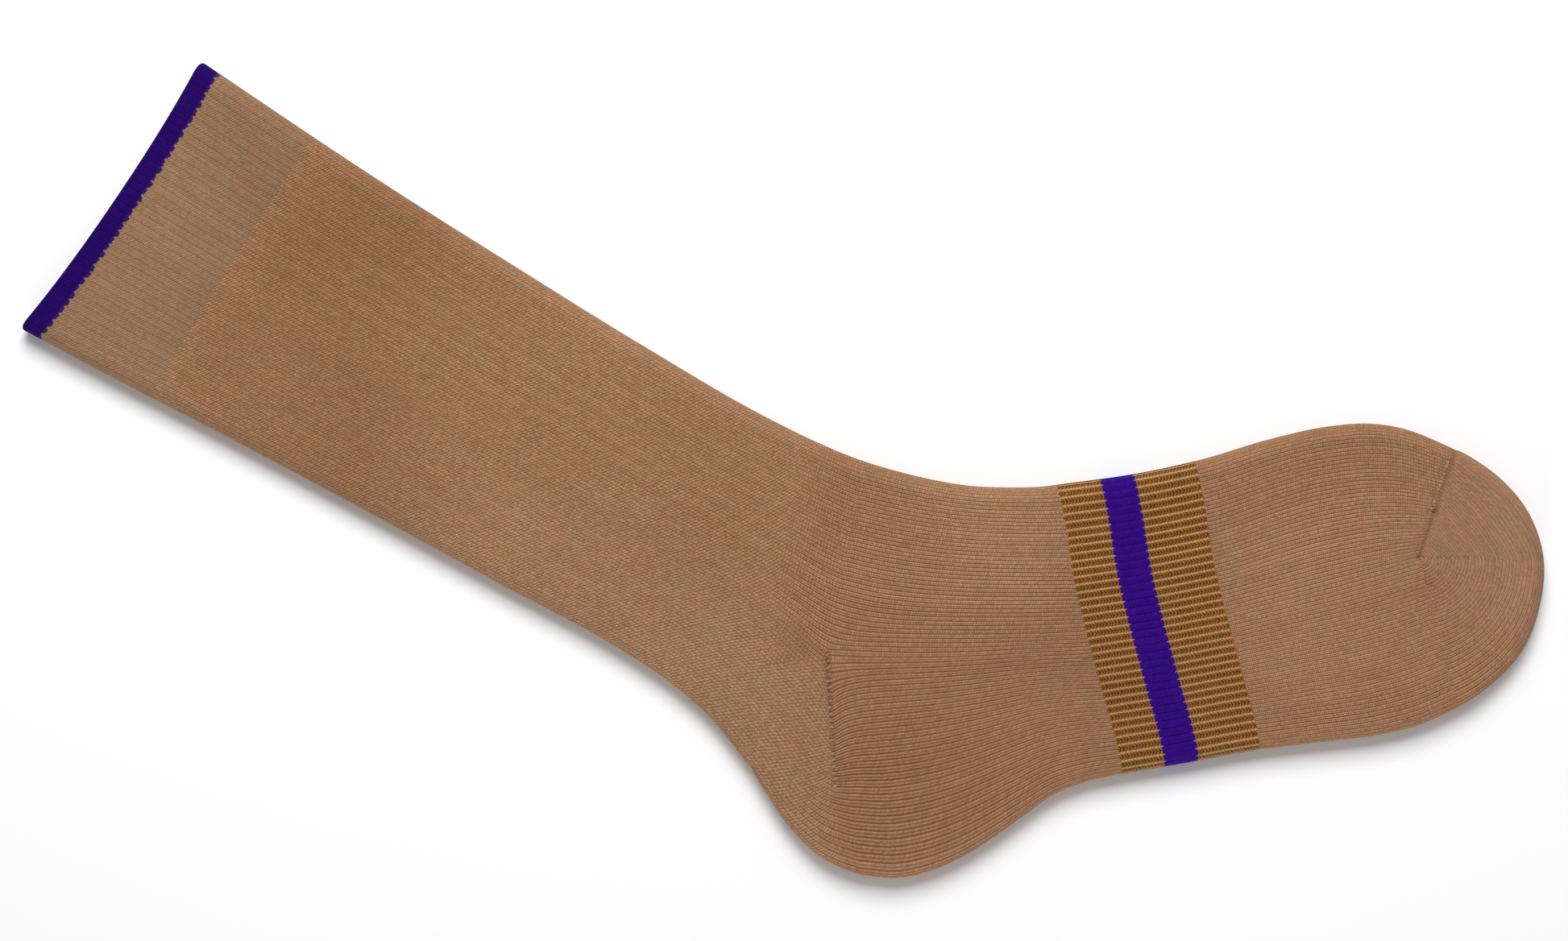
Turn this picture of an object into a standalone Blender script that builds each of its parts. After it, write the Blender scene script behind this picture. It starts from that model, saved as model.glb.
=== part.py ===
"""A crew sock lying flat on its side, as knitted sections round one open hollow.

Plan axes: +X runs down the leg to the ankle, +Y to the instep side, +Z up, in metres.
"""

import bmesh
import bpy
import math
import numpy as np
from mathutils import Vector

# Lengths of the leg, in metres
LEG_LENGTH = 0.2513
WELT_HEIGHT = 0.0060
CUFF_HEIGHT = 0.0405
LEG_REACH = 0.0480
MOUTH_LEAN = 0.0031
MOUTH_BOW = 0.0025

# Lengths of the foot, in metres
FOOT_LENGTH = 0.2155
HEEL_DEPTH = 0.0703
INSTEP_REACH = 0.0380
SOLE_REACH = 0.0500
BEND_REACH = 0.0576
BAND_START = 0.0776
REAR_BAND = 0.0129
STRIPE = 0.0103
FRONT_BAND = 0.0186
TOE_LENGTH = 0.0378

# Angles of the foot, in degrees
BEND_DEG = 41.2
BAND_LEAN_DEG = 3.5
TOE_SOLE_DEG = -84.0
TOE_SEAM_DEG = 61.0

# Thicknesses, in metres
LAY_HEIGHT = 0.0115
FOLD_RADIUS = 0.0047
WELT_WALL = 0.0024
CUFF_WALL = 0.0022
LEG_WALL = 0.0018
FOOT_WALL = 0.0019
POCKET_WALL = 0.0021
SEAM_GAP = 0.0003
HUB_HOLE = 0.0012

# Facets of one half section, and the sections of each piece
TOP_FACETS = 5
FOLD_FACETS = 8
BASE_FACETS = 4
WELT_SECTIONS = 2
CUFF_SECTIONS = 3
LEG_SECTIONS = 8
FOOT_SECTIONS = 10
BAND_SECTIONS = 2
FOREFOOT_SECTIONS = 9
HEEL_SECTIONS = 7
TOE_SECTIONS = 15

# along is a share of LEG_LENGTH from the mouth, front and back of LEG_REACH, height of LAY_HEIGHT
LEG_OUTLINE = [
    {"along": 0.000, "front": 1.030, "back": 0.975, "height": 0.95},
    {"along": 0.085, "front": 1.015, "back": 0.940, "height": 0.97},
    {"along": 0.264, "front": 0.992, "back": 0.860, "height": 1.00},
    {"along": 0.443, "front": 0.990, "back": 0.792, "height": 1.00},
    {"along": 0.622, "front": 0.996, "back": 0.733, "height": 1.00},
    {"along": 0.801, "front": 1.031, "back": 0.677, "height": 1.02},
    {"along": 0.861, "front": 1.065, "back": 0.686, "height": 1.04},
    {"along": 0.920, "front": 1.121, "back": 0.731, "height": 1.06},
    {"along": 1.000, "front": 1.270, "back": 0.870, "height": 1.08},
]

# along is a share of FOOT_LENGTH from the ankle point, instep of INSTEP_REACH, sole of SOLE_REACH,
# heel of what HEEL_DEPTH adds to SOLE_REACH, height of LAY_HEIGHT
FOOT_OUTLINE = [
    {"along": 0.000, "instep": 1.730, "sole": 1.000, "heel": 0.880, "height": 1.08},
    {"along": 0.046, "instep": 1.576, "sole": 1.000, "heel": 1.000, "height": 1.07},
    {"along": 0.093, "instep": 1.418, "sole": 1.000, "heel": 0.975, "height": 1.05},
    {"along": 0.139, "instep": 1.295, "sole": 1.000, "heel": 0.850, "height": 1.03},
    {"along": 0.186, "instep": 1.187, "sole": 1.000, "heel": 0.640, "height": 1.01},
    {"along": 0.232, "instep": 1.103, "sole": 1.000, "heel": 0.390, "height": 1.00},
    {"along": 0.278, "instep": 1.050, "sole": 1.000, "heel": 0.150, "height": 1.00},
    {"along": 0.325, "instep": 1.012, "sole": 1.002, "heel": 0.030, "height": 0.99},
    {"along": 0.371, "instep": 1.003, "sole": 1.002, "heel": 0.000, "height": 0.98},
    {"along": 0.464, "instep": 0.995, "sole": 0.996, "heel": 0.000, "height": 0.98},
    {"along": 0.557, "instep": 1.026, "sole": 0.985, "heel": 0.000, "height": 1.00},
    {"along": 0.650, "instep": 1.097, "sole": 0.998, "heel": 0.000, "height": 1.02},
    {"along": 0.742, "instep": 1.124, "sole": 1.006, "heel": 0.000, "height": 1.03},
    {"along": 0.789, "instep": 1.100, "sole": 0.985, "heel": 0.000, "height": 1.03},
    {"along": 0.835, "instep": 1.021, "sole": 0.930, "heel": 0.000, "height": 1.02},
    {"along": 0.902, "instep": 0.800, "sole": 0.820, "heel": 0.000, "height": 1.02},
]

# turn is a share of the angle from the leg round to the foot, reach of the way from one fold to the other
HEEL_ROUND = [
    {"turn": 0.00, "reach": 0.000},
    {"turn": 0.25, "reach": 0.190},
    {"turn": 0.50, "reach": 0.470},
    {"turn": 0.75, "reach": 0.770},
    {"turn": 1.00, "reach": 1.000},
]

# turn is a share of the angle from the sole round to the toe seam, reach of TOE_LENGTH
TOE_ROUND = [
    {"turn": 0.00, "reach": 1.233},
    {"turn": 0.10, "reach": 1.172},
    {"turn": 0.24, "reach": 1.115},
    {"turn": 0.37, "reach": 1.052},
    {"turn": 0.51, "reach": 1.012},
    {"turn": 0.65, "reach": 0.966},
    {"turn": 0.79, "reach": 0.922},
    {"turn": 0.90, "reach": 0.905},
    {"turn": 1.00, "reach": 0.912},
]

# colour is linear red, green and blue
YARNS = {
    "welt": {"colour": (0.024, 0.001, 0.142), "roughness": 0.80},
    "cuff": {"colour": (0.310, 0.182, 0.104), "roughness": 0.90},
    "leg": {"colour": (0.305, 0.157, 0.081), "roughness": 0.88},
    "heel_pocket": {"colour": (0.262, 0.136, 0.075), "roughness": 0.92},
    "foot": {"colour": (0.302, 0.160, 0.084), "roughness": 0.88},
    "arch_band_rear": {"colour": (0.235, 0.102, 0.031), "roughness": 0.85},
    "arch_stripe": {"colour": (0.030, 0.004, 0.180), "roughness": 0.80},
    "arch_band_front": {"colour": (0.235, 0.102, 0.031), "roughness": 0.85},
    "forefoot": {"colour": (0.302, 0.160, 0.090), "roughness": 0.88},
    "toe_pocket": {"colour": (0.310, 0.165, 0.095), "roughness": 0.92},
}


def smooth_read(table, key, column, at):
    """Reads a column of a table at any key, on a smooth curve through its rows."""
    keys = np.array([row[key] for row in table])
    values = np.array([row[column] for row in table])
    slopes = np.gradient(values, keys)
    low = int(np.clip(np.searchsorted(keys, at) - 1, 0, len(keys) - 2))
    span = keys[low + 1] - keys[low]
    t = (at - keys[low]) / span
    from_low = (1 + 2 * t) * (1 - t) ** 2 * values[low] + t * (1 - t) ** 2 * span * slopes[low]
    from_high = t * t * (3 - 2 * t) * values[low + 1] + t * t * (t - 1) * span * slopes[low + 1]
    return float(from_low + from_high)


def toward(degrees):
    """The plan direction at this angle from +X."""
    return Vector((math.cos(math.radians(degrees)), math.sin(math.radians(degrees))))


FOOT_AXIS = toward(BEND_DEG)
FOOT_SIDE = toward(BEND_DEG + 90.0)
BEND_POINT = BEND_REACH * toward(90.0 + BEND_DEG / 2.0)
TOE_HUB_ALONG = FOOT_LENGTH - TOE_LENGTH


def on_foot(along, side):
    """The plan point this far along the foot from the ankle point, and to its instep side."""
    return along * FOOT_AXIS + side * FOOT_SIDE


def leg_front(x):
    share = smooth_read(LEG_OUTLINE, "along", "front", 1.0 + x / LEG_LENGTH)
    return Vector((x, LEG_REACH * share))


def leg_back(x):
    share = smooth_read(LEG_OUTLINE, "along", "back", 1.0 + x / LEG_LENGTH)
    return Vector((x, -LEG_REACH * share))


def foot_instep(along):
    share = smooth_read(FOOT_OUTLINE, "along", "instep", along / FOOT_LENGTH)
    return on_foot(along, INSTEP_REACH * share)


def foot_sole(along):
    sole = smooth_read(FOOT_OUTLINE, "along", "sole", along / FOOT_LENGTH)
    heel = smooth_read(FOOT_OUTLINE, "along", "heel", along / FOOT_LENGTH)
    return on_foot(along, -(SOLE_REACH * sole + (HEEL_DEPTH - SOLE_REACH) * heel))


def leg_height(x):
    return LAY_HEIGHT * smooth_read(LEG_OUTLINE, "along", "height", 1.0 + x / LEG_LENGTH)


def foot_height(along):
    return LAY_HEIGHT * smooth_read(FOOT_OUTLINE, "along", "height", along / FOOT_LENGTH)


def toe_fold(turn):
    """The toe's fold at this share of the way round from the sole to the seam."""
    degrees = BEND_DEG + TOE_SOLE_DEG + (TOE_SEAM_DEG - TOE_SOLE_DEG) * turn
    reach = TOE_LENGTH * smooth_read(TOE_ROUND, "turn", "reach", turn)
    return on_foot(TOE_HUB_ALONG, 0.0) + reach * toward(degrees)


def section(front, middle, back, height):
    """One section: its two folds, the middle of its top, and its height there."""
    return {"front": front, "middle": middle, "back": back, "height": height}


def moved(one, step):
    """The same section, moved by a plan step."""
    places = {name: one[name] + step for name in ("front", "middle", "back")}
    return dict(one, **places)


def half_profile(width, height, inset):
    """(distance from the middle, height) from the top's middle, round the fold, to the base's middle."""
    flat = width - FOLD_RADIUS
    radius = FOLD_RADIUS - inset
    points = []
    for k in range(TOP_FACETS):
        share = k / TOP_FACETS
        dome = (height - 2.0 * FOLD_RADIUS) * 0.5 * (1.0 + math.cos(math.pi * share))
        points.append((flat * share, 2.0 * FOLD_RADIUS - inset + dome))
    for k in range(FOLD_FACETS + 1):
        angle = math.pi * (0.5 - k / FOLD_FACETS)
        points.append((flat + radius * math.cos(angle), FOLD_RADIUS + radius * math.sin(angle)))
    for k in range(1, BASE_FACETS + 1):
        points.append((flat * (1.0 - k / BASE_FACETS), inset))
    return points


def half_ring(middle, fold, height, inset, start=0.0):
    """A half section in space, whose middle end stands off by start."""
    reach = fold - middle
    heading = reach.normalized()
    ring = []
    for distance, level in half_profile(reach.length, height, inset):
        place = middle + max(distance, start) * heading
        ring.append(Vector((place.x, place.y, level)))
    return ring


def tube_ring(one, inset):
    """The closed loop of a section: its front half, then its back half the other way."""
    front = half_ring(one["middle"], one["front"], one["height"], inset)
    back = half_ring(one["middle"], one["back"], one["height"], inset)
    return front + back[-2:0:-1]


def shell(outer, inner, closed):
    """The faces of a wall between an outer and an inner loft, with its rims."""
    rows = len(outer)
    count = len(outer[0])
    points = [point for ring in outer + inner for point in ring]
    faces = []
    wrap = count if closed else count - 1
    for row in range(rows - 1):
        for k in range(wrap):
            a = row * count + k
            b = row * count + (k + 1) % count
            c = b + count
            d = a + count
            depth = rows * count
            faces.append((a, b, c, d))
            faces.append((a + depth, d + depth, c + depth, b + depth))
    for row, forward in ((0, False), (rows - 1, True)):
        for k in range(wrap):
            a = row * count + k
            b = row * count + (k + 1) % count
            rim = (a, b, b + rows * count, a + rows * count)
            faces.append(rim if forward else rim[::-1])
    if not closed:
        for k, forward in ((0, True), (count - 1, False)):
            for row in range(rows - 1):
                a = row * count + k
                b = a + count
                rim = (a, b, b + rows * count, a + rows * count)
                faces.append(rim if forward else rim[::-1])
    return points, faces


def tube(sections, wall, axis_in, axis_out):
    """A wall round the hollow, which stops half a gap short at each end."""
    ends = list(sections)
    ends[0] = moved(ends[0], SEAM_GAP / 2.0 * axis_in)
    ends[-1] = moved(ends[-1], -SEAM_GAP / 2.0 * axis_out)
    outer = [tube_ring(one, 0.0) for one in ends]
    inner = [tube_ring(one, wall) for one in ends]
    return shell(outer, inner, True)


def pocket(hub, start_deg, end_deg, folds, height, wall):
    """A wall fanned about a hub: its top, its fold and its base, open at both ends and at the hub."""
    half_turn = math.radians(end_deg - start_deg) / 2.0
    set_in = SEAM_GAP / 2.0 / math.sin(half_turn)
    pivot = hub + set_in * toward((start_deg + end_deg) / 2.0)
    outer = []
    inner = []
    for k, fold in enumerate(folds):
        degrees = start_deg + (end_deg - start_deg) * k / (len(folds) - 1)
        slack = set_in * math.cos(math.radians(degrees - (start_deg + end_deg) / 2.0))
        reach = (fold - hub).length - slack
        end = pivot + reach * toward(degrees)
        outer.append(half_ring(pivot, end, height, 0.0, HUB_HOLE))
        inner.append(half_ring(pivot, end, height, wall, HUB_HOLE))
    return shell(outer, inner, False)


def lerp(start, end, share):
    return start + (end - start) * share


# The leg's sections, square to the leg at the cuff and leaning into the bend at the ankle
def leg_section(x, lean):
    setback = lean * -BEND_POINT.x
    bend_miss = BEND_POINT - leg_front(BEND_POINT.x)
    front = leg_front(x - setback) + lean * bend_miss
    back = leg_back(x)
    middle = lerp((front + back) / 2.0, Vector((x, 0.0)), lean)
    return section(front, middle, back, leg_height(x))


def mouth_section(x):
    """A section near the mouth, which leans out at the back and bows in at the middle."""
    one = leg_section(x, 0.0)
    one["middle"] = one["middle"] + Vector((MOUTH_BOW - MOUTH_LEAN / 2.0, 0.0))
    one["back"] = one["back"] - Vector((MOUTH_LEAN, 0.0))
    return one


def welt_sections():
    top = -LEG_LENGTH
    return [mouth_section(top + WELT_HEIGHT * k / (WELT_SECTIONS - 1)) for k in range(WELT_SECTIONS)]


def cuff_sections():
    start = -LEG_LENGTH + WELT_HEIGHT
    run = CUFF_HEIGHT - WELT_HEIGHT
    below = [leg_section(start + run * k / (CUFF_SECTIONS - 1), 0.0) for k in range(1, CUFF_SECTIONS)]
    return [mouth_section(start)] + below


def leg_sections():
    start = -LEG_LENGTH + CUFF_HEIGHT
    steps = [k / (LEG_SECTIONS - 1) for k in range(LEG_SECTIONS)]
    return [leg_section(start * (1.0 - step), step ** 2) for step in steps]


# The foot's sections, from the bend at the ankle to the toe's hub
def band_section(along):
    """A section across the arch, which leans by BAND_LEAN_DEG."""
    lean = math.tan(math.radians(BAND_LEAN_DEG))
    front = foot_instep(along - lean * INSTEP_REACH)
    back = foot_sole(along + lean * SOLE_REACH)
    return section(front, (front + back) / 2.0, back, foot_height(along))


def foot_sections():
    """From the course through the ankle point to the arch, with the instep's end on the bend point."""
    last = band_section(BAND_START)
    lean = math.tan(math.radians(BAND_LEAN_DEG))
    bend_along = BEND_POINT.dot(FOOT_AXIS)
    bend_miss = BEND_POINT - foot_instep(bend_along)
    made = []
    for k in range(FOOT_SECTIONS - 1):
        step = k / (FOOT_SECTIONS - 1)
        front = foot_instep(lerp(bend_along, BAND_START - lean * INSTEP_REACH, step))
        front = front + (1.0 - step) ** 2 * bend_miss
        back = foot_sole(lerp(0.0, BAND_START + lean * SOLE_REACH, step))
        middle = lerp(Vector((0.0, 0.0)), last["middle"], step)
        height = leg_height(0.0) if k == 0 else foot_height(BAND_START * step)
        made.append(section(front, middle, back, height))
    return made + [last]


def band_sections(start, width):
    return [band_section(start + width * k / (BAND_SECTIONS - 1)) for k in range(BAND_SECTIONS)]


def forefoot_sections():
    """From the arch to the toe, whose last folds are the ends of the toe's own fold."""
    start = BAND_START + REAR_BAND + STRIPE + FRONT_BAND
    first = band_section(start)
    hub = on_foot(TOE_HUB_ALONG, 0.0)
    instep_end = toe_fold(1.0)
    sole_end = toe_fold(0.0)
    instep_along = instep_end.dot(FOOT_AXIS)
    sole_along = sole_end.dot(FOOT_AXIS)
    instep_miss = instep_end - foot_instep(instep_along)
    sole_miss = sole_end - foot_sole(sole_along)
    lean = math.tan(math.radians(BAND_LEAN_DEG))
    made = [first]
    for k in range(1, FOREFOOT_SECTIONS):
        step = k / (FOREFOOT_SECTIONS - 1)
        front = foot_instep(lerp(start - lean * INSTEP_REACH, instep_along, step)) + step ** 3 * instep_miss
        back = foot_sole(lerp(start + lean * SOLE_REACH, sole_along, step)) + step ** 3 * sole_miss
        middle = lerp(first["middle"], hub, step)
        made.append(section(front, middle, back, foot_height(lerp(start, TOE_HUB_ALONG, step))))
    return made


# The two pockets, each fanned about the point where its gore starts
def heel_pocket():
    hub = Vector((0.0, 0.0))
    leg_reach = leg_back(0.0).length
    foot_reach = foot_sole(0.0).length
    folds = []
    for k in range(HEEL_SECTIONS):
        turn = k / (HEEL_SECTIONS - 1)
        reach = lerp(leg_reach, foot_reach, smooth_read(HEEL_ROUND, "turn", "reach", turn))
        folds.append(reach * toward(-90.0 + BEND_DEG * turn))
    return pocket(hub, -90.0, -90.0 + BEND_DEG, folds, leg_height(0.0), POCKET_WALL)


def toe_pocket():
    folds = [toe_fold(k / (TOE_SECTIONS - 1)) for k in range(TOE_SECTIONS)]
    start_deg = BEND_DEG + TOE_SOLE_DEG
    end_deg = BEND_DEG + TOE_SEAM_DEG
    hub = on_foot(TOE_HUB_ALONG, 0.0)
    return pocket(hub, start_deg, end_deg, folds, foot_height(TOE_HUB_ALONG), POCKET_WALL)


def all_walls():
    """The points and faces of every piece, by name."""
    down_leg = Vector((1.0, 0.0))
    stripe_start = BAND_START + REAR_BAND
    front_start = stripe_start + STRIPE
    return {
        "welt": tube(welt_sections(), WELT_WALL, down_leg, down_leg),
        "cuff": tube(cuff_sections(), CUFF_WALL, down_leg, down_leg),
        "leg": tube(leg_sections(), LEG_WALL, down_leg, down_leg),
        "heel_pocket": heel_pocket(),
        "foot": tube(foot_sections(), FOOT_WALL, FOOT_AXIS, FOOT_AXIS),
        "arch_band_rear": tube(band_sections(BAND_START, REAR_BAND), FOOT_WALL, FOOT_AXIS, FOOT_AXIS),
        "arch_stripe": tube(band_sections(stripe_start, STRIPE), FOOT_WALL, FOOT_AXIS, FOOT_AXIS),
        "arch_band_front": tube(band_sections(front_start, FRONT_BAND), FOOT_WALL, FOOT_AXIS, FOOT_AXIS),
        "forefoot": tube(forefoot_sections(), FOOT_WALL, FOOT_AXIS, FOOT_AXIS),
        "toe_pocket": toe_pocket(),
    }


def yarn_material(name):
    yarn = YARNS[name]
    material = bpy.data.materials.new(name + "_yarn")
    material.use_nodes = True
    shader = material.node_tree.nodes["Principled BSDF"]
    shader.inputs["Base Color"].default_value = (*yarn["colour"], 1.0)
    shader.inputs["Roughness"].default_value = yarn["roughness"]
    shader.inputs["Metallic"].default_value = 0.0
    return material


def add_piece(name, points, faces, shift, collection):
    """Makes one named object, shaded smooth but for its rims."""
    made = bmesh.new()
    vertices = [made.verts.new(point - shift) for point in points]
    for face in faces:
        made.faces.new([vertices[k] for k in face])
    bmesh.ops.recalc_face_normals(made, faces=made.faces)
    mesh = bpy.data.meshes.new(name)
    made.to_mesh(mesh)
    made.free()
    mesh.shade_smooth()
    mesh.set_sharp_from_angle(angle=math.radians(50.0))
    mesh.materials.append(yarn_material(name))
    piece = bpy.data.objects.new(name, mesh)
    collection.objects.link(piece)


def main():
    for old in list(bpy.data.objects):
        bpy.data.objects.remove(old, do_unlink=True)
    sock = bpy.data.collections.new("crew_sock")
    bpy.context.scene.collection.children.link(sock)
    walls = all_walls()
    plan = np.array([point[:2] for points, _ in walls.values() for point in points])
    middle = (plan.min(axis=0) + plan.max(axis=0)) / 2.0
    shift = Vector((middle[0], middle[1], 0.0))
    for name, (points, faces) in walls.items():
        add_piece(name, points, faces, shift, sock)


main()
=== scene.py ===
import math

import bpy
import numpy as np
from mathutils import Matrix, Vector


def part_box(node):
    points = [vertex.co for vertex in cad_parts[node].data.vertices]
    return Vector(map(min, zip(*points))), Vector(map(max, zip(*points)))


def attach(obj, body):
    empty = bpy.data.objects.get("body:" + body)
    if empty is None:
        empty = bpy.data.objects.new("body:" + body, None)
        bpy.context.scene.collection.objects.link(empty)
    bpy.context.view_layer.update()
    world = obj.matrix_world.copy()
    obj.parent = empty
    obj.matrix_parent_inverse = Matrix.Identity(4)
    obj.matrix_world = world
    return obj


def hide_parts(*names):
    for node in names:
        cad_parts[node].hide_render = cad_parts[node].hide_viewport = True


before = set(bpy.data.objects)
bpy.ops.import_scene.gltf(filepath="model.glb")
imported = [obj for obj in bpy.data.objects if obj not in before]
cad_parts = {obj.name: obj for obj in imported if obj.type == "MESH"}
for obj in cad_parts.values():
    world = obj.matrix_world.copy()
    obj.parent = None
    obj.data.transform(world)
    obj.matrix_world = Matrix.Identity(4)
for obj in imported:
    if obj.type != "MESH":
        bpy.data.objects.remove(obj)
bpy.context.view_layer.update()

print("frame loaded")

# sizes of the whole sock, in metres and degrees
sockShape = {
    "legLength": 0.2513, "legReach": 0.0480, "mouthLean": 0.0031, "mouthBow": 0.0025,
    "weltHeight": 0.0060, "cuffHeight": 0.0405,
    "footLength": 0.2155, "heelDepth": 0.0703, "instepReach": 0.0380, "soleReach": 0.0500,
    "bendReach": 0.0576, "bendDeg": 41.2, "bandStart": 0.0776, "rearBand": 0.0129,
    "stripe": 0.0103, "frontBand": 0.0186, "bandLeanDeg": 3.5,
    "toeLength": 0.0378, "toeSoleDeg": -84.0, "toeSeamDeg": 61.0,
    "layHeight": 0.0115, "foldRadius": 0.0047, "hubHole": 0.0001,
}

# the knitting: 39 wales from the top's middle to each fold, and one wale that the heel or the toe pivots on
knit = {"halfWales": 39, "heelWale": -4.5, "toeWale": -0.5, "topStep": 0.25, "baseStep": 0.5,
        "foldMargin": 4, "foldStretch": 0.0016, "foldPower": 6}


def tableOf(columns, rows):
    # rows of numbers under column names
    return [dict(zip(columns.split(), row)) for row in rows]


legOutline = tableOf("along front back height", [  # shares of legLength, legReach and layHeight
    (0.000, 1.030, 0.975, 0.95),
    (0.085, 1.015, 0.940, 0.97),
    (0.264, 0.992, 0.860, 1.00),
    (0.443, 0.990, 0.792, 1.00),
    (0.622, 0.996, 0.733, 1.00),
    (0.801, 1.031, 0.677, 1.02),
    (0.861, 1.065, 0.686, 1.04),
    (0.920, 1.121, 0.731, 1.06),
    (1.000, 1.270, 0.870, 1.08),
])

# shares of footLength, instepReach, soleReach, what the heel adds, and layHeight
footOutline = tableOf("along instep sole heel height", [
    (0.000, 1.730, 1.000, 0.880, 1.08),
    (0.046, 1.576, 1.000, 1.000, 1.07),
    (0.093, 1.418, 1.000, 0.975, 1.05),
    (0.139, 1.295, 1.000, 0.850, 1.03),
    (0.186, 1.187, 1.000, 0.640, 1.01),
    (0.232, 1.103, 1.000, 0.390, 1.00),
    (0.278, 1.050, 1.000, 0.150, 1.00),
    (0.325, 1.012, 1.002, 0.030, 0.99),
    (0.371, 1.003, 1.002, 0.000, 0.98),
    (0.464, 0.995, 0.996, 0.000, 0.98),
    (0.557, 1.026, 0.985, 0.000, 1.00),
    (0.650, 1.097, 0.998, 0.000, 1.02),
    (0.742, 1.124, 1.006, 0.000, 1.03),
    (0.789, 1.100, 0.985, 0.000, 1.03),
    (0.835, 1.021, 0.930, 0.000, 1.02),
    (0.902, 0.800, 0.820, 0.000, 1.02),
])

# share of the turn from leg to foot, and of the way from one fold's reach to the other's
heelRound = tableOf("turn reach", [
    (0.00, 0.000),
    (0.25, 0.190),
    (0.50, 0.470),
    (0.75, 0.770),
    (1.00, 1.000),
])

toeRound = tableOf("turn reach", [  # share of the turn from the sole to the seam, and of toeLength
    (0.00, 1.233),
    (0.10, 1.172),
    (0.24, 1.115),
    (0.37, 1.052),
    (0.51, 1.012),
    (0.65, 0.966),
    (0.79, 0.922),
    (0.90, 0.905),
    (1.00, 0.912),
])

# how far the arch's bands bow towards the toe, in millimetres across the foot
bandBow = tableOf("side bow", [
    (-52.0, 0.25),
    (-44.0, 0.62),
    (-36.0, 0.45),
    (-28.0, -0.10),
    (-20.0, -0.50),
    (-10.0, -1.05),
    (0.0, -1.32),
    (8.0, -1.38),
    (16.0, -0.90),
    (24.0, -0.30),
    (32.0, 0.00),
    (40.0, 0.00),
])


def smoothRead(table, key, column, at):
    # reads a column at any key, on a smooth curve through the table's rows
    keys = np.array([row[key] for row in table])
    values = np.array([row[column] for row in table])
    slopes = np.gradient(values, keys)
    at = np.asarray(at, float)
    low = np.clip(np.searchsorted(keys, at) - 1, 0, len(keys) - 2)
    span = keys[low + 1] - keys[low]
    t = (at - keys[low]) / span
    fromLow = (1 + 2 * t) * (1 - t) ** 2 * values[low] + t * (1 - t) ** 2 * span * slopes[low]
    fromHigh = t * t * (3 - 2 * t) * values[low + 1] + t * t * (t - 1) * span * slopes[low + 1]
    return fromLow + fromHigh


def toward(degrees):
    angle = np.radians(np.asarray(degrees, float))
    return np.stack([np.cos(angle), np.sin(angle)], axis=-1)


def smoothStep(low, high, at):
    t = np.clip((np.asarray(at, float) - low) / (high - low), 0.0, 1.0)
    return t * t * (3 - 2 * t)


footAxis = toward(sockShape["bendDeg"])
footSide = toward(sockShape["bendDeg"] + 90.0)
bendPoint = sockShape["bendReach"] * toward(90.0 + sockShape["bendDeg"] / 2.0)
toeHubAlong = sockShape["footLength"] - sockShape["toeLength"]
rearEnd = sockShape["bandStart"] + sockShape["rearBand"]
stripeEnd = rearEnd + sockShape["stripe"]
bandEnd = stripeEnd + sockShape["frontBand"]
bandTan = math.tan(math.radians(sockShape["bandLeanDeg"]))

# the ankle point in the frame: the leg ends half a gap short of it, and the welt gives the front fold
seamGap = 0.0003
anklePoint = np.array([
    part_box("leg")[1][0] + seamGap / 2.0,
    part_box("welt")[1][1] - sockShape["legReach"] * legOutline[0]["front"],
])


def onFoot(along, side):
    return np.multiply.outer(along, footAxis) + np.multiply.outer(side, footSide)


toeHub = onFoot(toeHubAlong, 0.0)


def readLeg(column, x):
    return smoothRead(legOutline, "along", column, 1.0 + x / sockShape["legLength"])


def readFoot(column, along):
    return smoothRead(footOutline, "along", column, along / sockShape["footLength"])


def legFold(x, side):
    reach = sockShape["legReach"] * readLeg(side, x)
    return np.stack([x, reach if side == "front" else -reach], axis=-1)


def footInstep(along):
    return onFoot(along, sockShape["instepReach"] * readFoot("instep", along))


def footSole(along):
    heel = (sockShape["heelDepth"] - sockShape["soleReach"]) * readFoot("heel", along)
    return onFoot(along, -(sockShape["soleReach"] * readFoot("sole", along) + heel))


def legHeight(x):
    return sockShape["layHeight"] * readLeg("height", x)


def footHeight(along):
    return sockShape["layHeight"] * readFoot("height", along)


def toeFold(turn):
    span = sockShape["toeSeamDeg"] - sockShape["toeSoleDeg"]
    reach = sockShape["toeLength"] * smoothRead(toeRound, "turn", "reach", turn)
    heading = toward(sockShape["bendDeg"] + sockShape["toeSoleDeg"] + span * np.asarray(turn))
    return toeHub + reach[..., None] * heading


# rows of sections: the two folds, the middle of the top, the height and the wale at the middle
def evenWale(rows):
    # the wale at the middle when all are spaced alike from fold to fold
    frontReach = np.linalg.norm(rows["front"] - rows["middle"], axis=1)
    backReach = np.linalg.norm(rows["back"] - rows["middle"], axis=1)
    return knit["halfWales"] * (backReach - frontReach) / (frontReach + backReach)


def legRows(x, lean):
    x = np.asarray(x, float)
    lean = np.broadcast_to(np.asarray(lean, float), x.shape)
    miss = bendPoint - legFold(np.array(bendPoint[0]), "front")
    front = legFold(x + lean * bendPoint[0], "front") + lean[:, None] * miss
    back = legFold(x, "back")
    own = np.stack([x, np.zeros_like(x)], axis=-1)
    middle = (front + back) / 2.0 * (1 - lean[:, None]) + own * lean[:, None]
    rows = {"front": front, "middle": middle, "back": back, "height": legHeight(x)}
    even = evenWale(rows)
    rows["wale"] = even + (knit["heelWale"] - even[-1]) * lean ** 3
    return rows


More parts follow.
